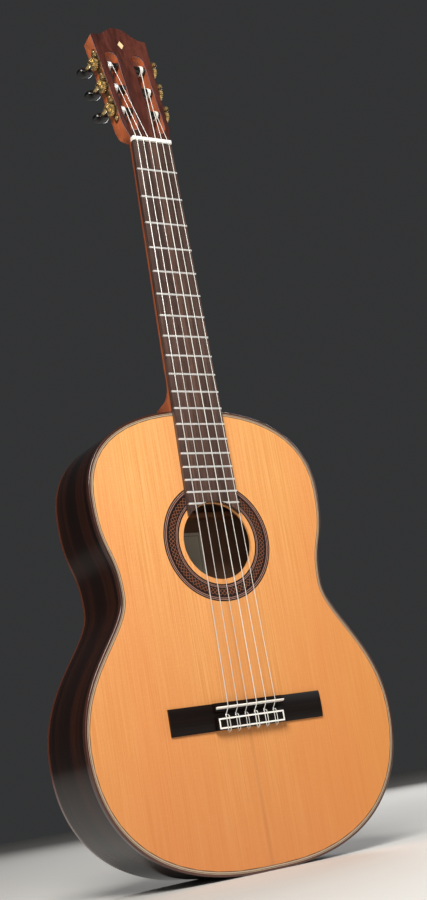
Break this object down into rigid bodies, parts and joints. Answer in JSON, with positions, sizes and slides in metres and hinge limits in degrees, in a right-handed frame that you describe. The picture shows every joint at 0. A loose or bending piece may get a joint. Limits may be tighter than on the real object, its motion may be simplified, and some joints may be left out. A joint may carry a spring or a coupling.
{
  "type": "classical guitar",
  "caption": "Nylon-string classical guitar with cedar soundboard, dark rosewood body, slotted head and worm-geared tuning machines, standing upright on its tail.",
  "frame": {"origin": "middle of the flat at the tail end of the body", "axes": "+Z along the neck from the tail to the head, -Y out of the soundboard, +X towards the first string (treble side)"},
  "size_m": [0.378, 0.1155, 0.994],
  "materials": {
    "cedar_top": "gloss lacquer over straight vertical grain",
    "marquetry": "gloss lacquer over dark and brown mosaic",
    "spruce_bracing": "bare planed wood",
    "rosewood_body": "high gloss lacquer, near black with brown figure",
    "light_strip": "gloss lacquer",
    "cedar_lining": "bare wood",
    "neck_wood": "satin to gloss lacquer, orange brown",
    "dark_binding": "gloss lacquer",
    "brown_binding": "gloss lacquer",
    "light_purfling": "gloss lacquer",
    "label_paper": "matt, blank",
    "board_rosewood": "open-pored satin, streaked brown",
    "fret_wire": "polished nickel silver",
    "bone": "polished bone",
    "head_rosewood": "gloss lacquer",
    "inlay_wood": "gloss lacquer",
    "bridge_rosewood": "polished, almost black",
    "clear_nylon": "clear nylon",
    "silver_wound": "silver-plated winding",
    "plate_brass": "lacquered, engraved",
    "turned_brass": "polished",
    "button_black": "high gloss black",
    "roller_black": "gloss black"
  },
  "bodies": {
    "guitar": {"soundboard": "cedar_top", "rosette": "marquetry", "top_braces": "spruce_bracing", "side_bass": "rosewood_body", "side_treble": "rosewood_body", "back_bass": "rosewood_body", "back_treble": "rosewood_body", "back_strip": "light_strip", "back_braces": "cedar_lining", "linings": "cedar_lining", "tail_block": "cedar_lining", "neck": "neck_wood", "headstock": "neck_wood", "top_binding": "dark_binding", "back_binding": "brown_binding", "top_purfling": "light_purfling", "end_graft": "brown_binding", "heel_cap": "dark_binding", "label": "label_paper", "fingerboard": "board_rosewood", "frets": "fret_wire", "nut": "bone", "head_veneer": "head_rosewood", "inlays": "inlay_wood", "bridge": "bridge_rosewood", "saddle": "bone", "tie_block_inlay": "bone", "string_1": "clear_nylon", "string_2": "clear_nylon", "string_3": "clear_nylon", "string_4": "silver_wound", "string_5": "silver_wound", "string_6": "silver_wound", "tuner_plate_bass": "plate_brass", "tuner_plate_treble": "plate_brass", "plate_screws": "turned_brass"},
    "key_1": {"worm_1": "turned_brass", "button_1": "button_black"},
    "post_1": {"roller_1": "roller_black", "gear_1": "turned_brass"},
    "key_2": {"worm_2": "turned_brass", "button_2": "button_black"},
    "post_2": {"roller_2": "roller_black", "gear_2": "turned_brass"},
    "key_3": {"worm_3": "turned_brass", "button_3": "button_black"},
    "post_3": {"roller_3": "roller_black", "gear_3": "turned_brass"},
    "key_4": {"worm_4": "turned_brass", "button_4": "button_black"},
    "post_4": {"roller_4": "roller_black", "gear_4": "turned_brass"},
    "key_5": {"worm_5": "turned_brass", "button_5": "button_black"},
    "post_5": {"roller_5": "roller_black", "gear_5": "turned_brass"},
    "key_6": {"worm_6": "turned_brass", "button_6": "button_black"},
    "post_6": {"roller_6": "roller_black", "gear_6": "turned_brass"}
  },
  "joints": [
    {"name": "key_1_turn", "type": "hinge", "parent": "guitar", "child": "key_1", "pos_m": [0.03693, -0.03462, 0.87591], "axis": [0, 0.977, -0.213], "continuous": true},
    {"name": "post_1_turn", "type": "hinge", "parent": "guitar", "child": "post_1", "pos_m": [0.03173, -0.03648, 0.86734], "axis": [0.999, -0.0095, -0.0438], "continuous": true},
    {"name": "key_2_turn", "type": "hinge", "parent": "guitar", "child": "key_2", "pos_m": [0.0385, -0.02717, 0.91008], "axis": [0, 0.977, -0.213], "continuous": true},
    {"name": "post_2_turn", "type": "hinge", "parent": "guitar", "child": "post_2", "pos_m": [0.0333, -0.02904, 0.9015], "axis": [0.999, -0.0095, -0.0438], "continuous": true},
    {"name": "key_3_turn", "type": "hinge", "parent": "guitar", "child": "key_3", "pos_m": [0.04007, -0.01972, 0.94424], "axis": [0, 0.977, -0.213], "continuous": true},
    {"name": "post_3_turn", "type": "hinge", "parent": "guitar", "child": "post_3", "pos_m": [0.03487, -0.02159, 0.93566], "axis": [0.999, -0.0095, -0.0438], "continuous": true},
    {"name": "key_4_turn", "type": "hinge", "parent": "guitar", "child": "key_4", "pos_m": [-0.04007, -0.01972, 0.94424], "axis": [0, 0.977, -0.213], "continuous": true},
    {"name": "post_4_turn", "type": "hinge", "parent": "guitar", "child": "post_4", "pos_m": [-0.03487, -0.02159, 0.93566], "axis": [-0.999, -0.0095, -0.0438], "continuous": true},
    {"name": "key_5_turn", "type": "hinge", "parent": "guitar", "child": "key_5", "pos_m": [-0.0385, -0.02717, 0.91008], "axis": [0, 0.977, -0.213], "continuous": true},
    {"name": "post_5_turn", "type": "hinge", "parent": "guitar", "child": "post_5", "pos_m": [-0.0333, -0.02904, 0.9015], "axis": [-0.999, -0.0095, -0.0438], "continuous": true},
    {"name": "key_6_turn", "type": "hinge", "parent": "guitar", "child": "key_6", "pos_m": [-0.03693, -0.03462, 0.87591], "axis": [0, 0.977, -0.213], "continuous": true},
    {"name": "post_6_turn", "type": "hinge", "parent": "guitar", "child": "post_6", "pos_m": [-0.03173, -0.03648, 0.86734], "axis": [-0.999, -0.0095, -0.0438], "continuous": true}
  ],
  "couplings": [
    {"joint": "post_1_turn", "follows": "key_1_turn", "ratio": -0.0625},
    {"joint": "post_2_turn", "follows": "key_2_turn", "ratio": -0.0625},
    {"joint": "post_3_turn", "follows": "key_3_turn", "ratio": -0.0625},
    {"joint": "post_4_turn", "follows": "key_4_turn", "ratio": -0.0625},
    {"joint": "post_5_turn", "follows": "key_5_turn", "ratio": -0.0625},
    {"joint": "post_6_turn", "follows": "key_6_turn", "ratio": -0.0625}
  ]
}
